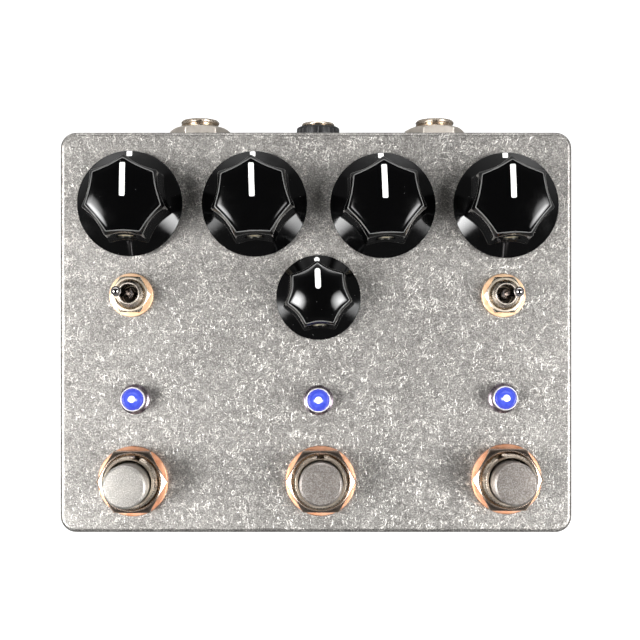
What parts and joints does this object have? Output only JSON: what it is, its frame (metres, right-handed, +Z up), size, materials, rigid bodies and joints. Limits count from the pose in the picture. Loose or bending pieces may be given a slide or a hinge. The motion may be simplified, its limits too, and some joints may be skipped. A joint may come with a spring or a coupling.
{
  "type": "guitar effects pedal",
  "caption": "Die-cast metal effects pedal with pointer knobs, toggle switches, press footswitches, blue lamps and rear sockets.",
  "frame": {"origin": "centre of the base plate's flat underside, on the surface the pedal stands on", "axes": "+X along the long side, to the right for the player; +Y towards the rear wall with the sockets; +Z up through the control panel"},
  "size_m": [0.1194, 0.0988, 0.0503],
  "materials": {
    "cast_box": "tumbled",
    "lid": "tumbled",
    "knob_plastic": "polished",
    "dc_nut_plastic": "satin",
    "copper_washer": "polished",
    "nickel_nut": "bright nickel",
    "nickel_bushing": "threaded nickel",
    "lever_chrome": "polished",
    "bezel_chrome": "polished",
    "button_light": "tumbled",
    "button_dark": "tumbled",
    "set_screw_brass": "plain",
    "pot_steel": "plain",
    "screw_steel": "plain",
    "led_blue": "clear",
    "board": "solder mask"
  },
  "bodies": {
    "case": {"enclosure": "cast_box", "base_plate": "lid", "lid_screw_1": "screw_steel", "lid_screw_2": "screw_steel", "lid_screw_3": "screw_steel", "lid_screw_4": "screw_steel", "circuit_board": "board", "pot_1": "pot_steel", "pot_2": "pot_steel", "pot_3": "pot_steel", "pot_4": "pot_steel", "pot_5": "pot_steel", "toggle_left_body": "nickel_bushing", "toggle_left_washer": "copper_washer", "toggle_left_nut": "nickel_nut", "toggle_right_body": "nickel_bushing", "toggle_right_washer": "copper_washer", "toggle_right_nut": "nickel_nut", "footswitch_left": "nickel_bushing", "footswitch_washer_left": "copper_washer", "footswitch_nut_left": "nickel_nut", "led_left": "led_blue", "led_bezel_left": "bezel_chrome", "footswitch_middle": "nickel_bushing", "footswitch_washer_middle": "copper_washer", "footswitch_nut_middle": "nickel_nut", "led_middle": "led_blue", "led_bezel_middle": "bezel_chrome", "footswitch_right": "nickel_bushing", "footswitch_washer_right": "copper_washer", "footswitch_nut_right": "nickel_nut", "led_right": "led_blue", "led_bezel_right": "bezel_chrome", "jack_left": "nickel_bushing", "jack_nut_left": "nickel_nut", "jack_right": "nickel_bushing", "jack_nut_right": "nickel_nut", "dc_jack": "nickel_bushing", "dc_jack_nut": "dc_nut_plastic"},
    "control_1": {"knob_1": "knob_plastic", "knob_screw_1": "set_screw_brass", "pot_shaft_1": "pot_steel"},
    "control_2": {"knob_2": "knob_plastic", "knob_screw_2": "set_screw_brass", "pot_shaft_2": "pot_steel"},
    "control_3": {"knob_3": "knob_plastic", "knob_screw_3": "set_screw_brass", "pot_shaft_3": "pot_steel"},
    "control_4": {"knob_4": "knob_plastic", "knob_screw_4": "set_screw_brass", "pot_shaft_4": "pot_steel"},
    "control_5": {"knob_5": "knob_plastic", "knob_screw_5": "set_screw_brass", "pot_shaft_5": "pot_steel"},
    "bat_left": {"toggle_left_lever": "lever_chrome"},
    "bat_right": {"toggle_right_lever": "lever_chrome"},
    "press_left": {"button_left": "button_light"},
    "press_middle": {"button_middle": "button_dark"},
    "press_right": {"button_right": "button_dark"}
  },
  "joints": [
    {"name": "knob_1_turn", "type": "hinge", "parent": "case", "child": "control_1", "pos_m": [-0.0424, 0.0292, 0.04], "axis": [0, 0, 1], "range_deg": [-150, 150]},
    {"name": "knob_2_turn", "type": "hinge", "parent": "case", "child": "control_2", "pos_m": [-0.014, 0.0291, 0.04], "axis": [0, 0, 1], "range_deg": [-150, 150]},
    {"name": "knob_3_turn", "type": "hinge", "parent": "case", "child": "control_3", "pos_m": [0.0152, 0.02875, 0.04], "axis": [0, 0, 1], "range_deg": [-150, 150]},
    {"name": "knob_4_turn", "type": "hinge", "parent": "case", "child": "control_4", "pos_m": [0.04325, 0.0288, 0.04], "axis": [0, 0, 1], "range_deg": [-150, 150]},
    {"name": "knob_5_turn", "type": "hinge", "parent": "case", "child": "control_5", "pos_m": [0.00055, 0.0078, 0.04], "axis": [0, 0, 1], "range_deg": [-150, 150]},
    {"name": "toggle_left_flip", "type": "hinge", "parent": "case", "child": "bat_left", "pos_m": [-0.04215, 0.00845, 0.0382], "axis": [0, 1, 0], "range_deg": [0, 28]},
    {"name": "toggle_right_flip", "type": "hinge", "parent": "case", "child": "bat_right", "pos_m": [0.0428, 0.00835, 0.0382], "axis": [0, 1, 0], "range_deg": [-28, 0]},
    {"name": "footswitch_left_press", "type": "slide", "parent": "case", "child": "press_left", "axis": [0, 0, -1], "range_m": [0, 0.003], "stiffness_N_per_m": 3000, "springref_m": -0.001},
    {"name": "footswitch_middle_press", "type": "slide", "parent": "case", "child": "press_middle", "axis": [0, 0, -1], "range_m": [0, 0.003], "stiffness_N_per_m": 3000, "springref_m": -0.001},
    {"name": "footswitch_right_press", "type": "slide", "parent": "case", "child": "press_right", "axis": [0, 0, -1], "range_m": [0, 0.003], "stiffness_N_per_m": 3000, "springref_m": -0.001}
  ]
}
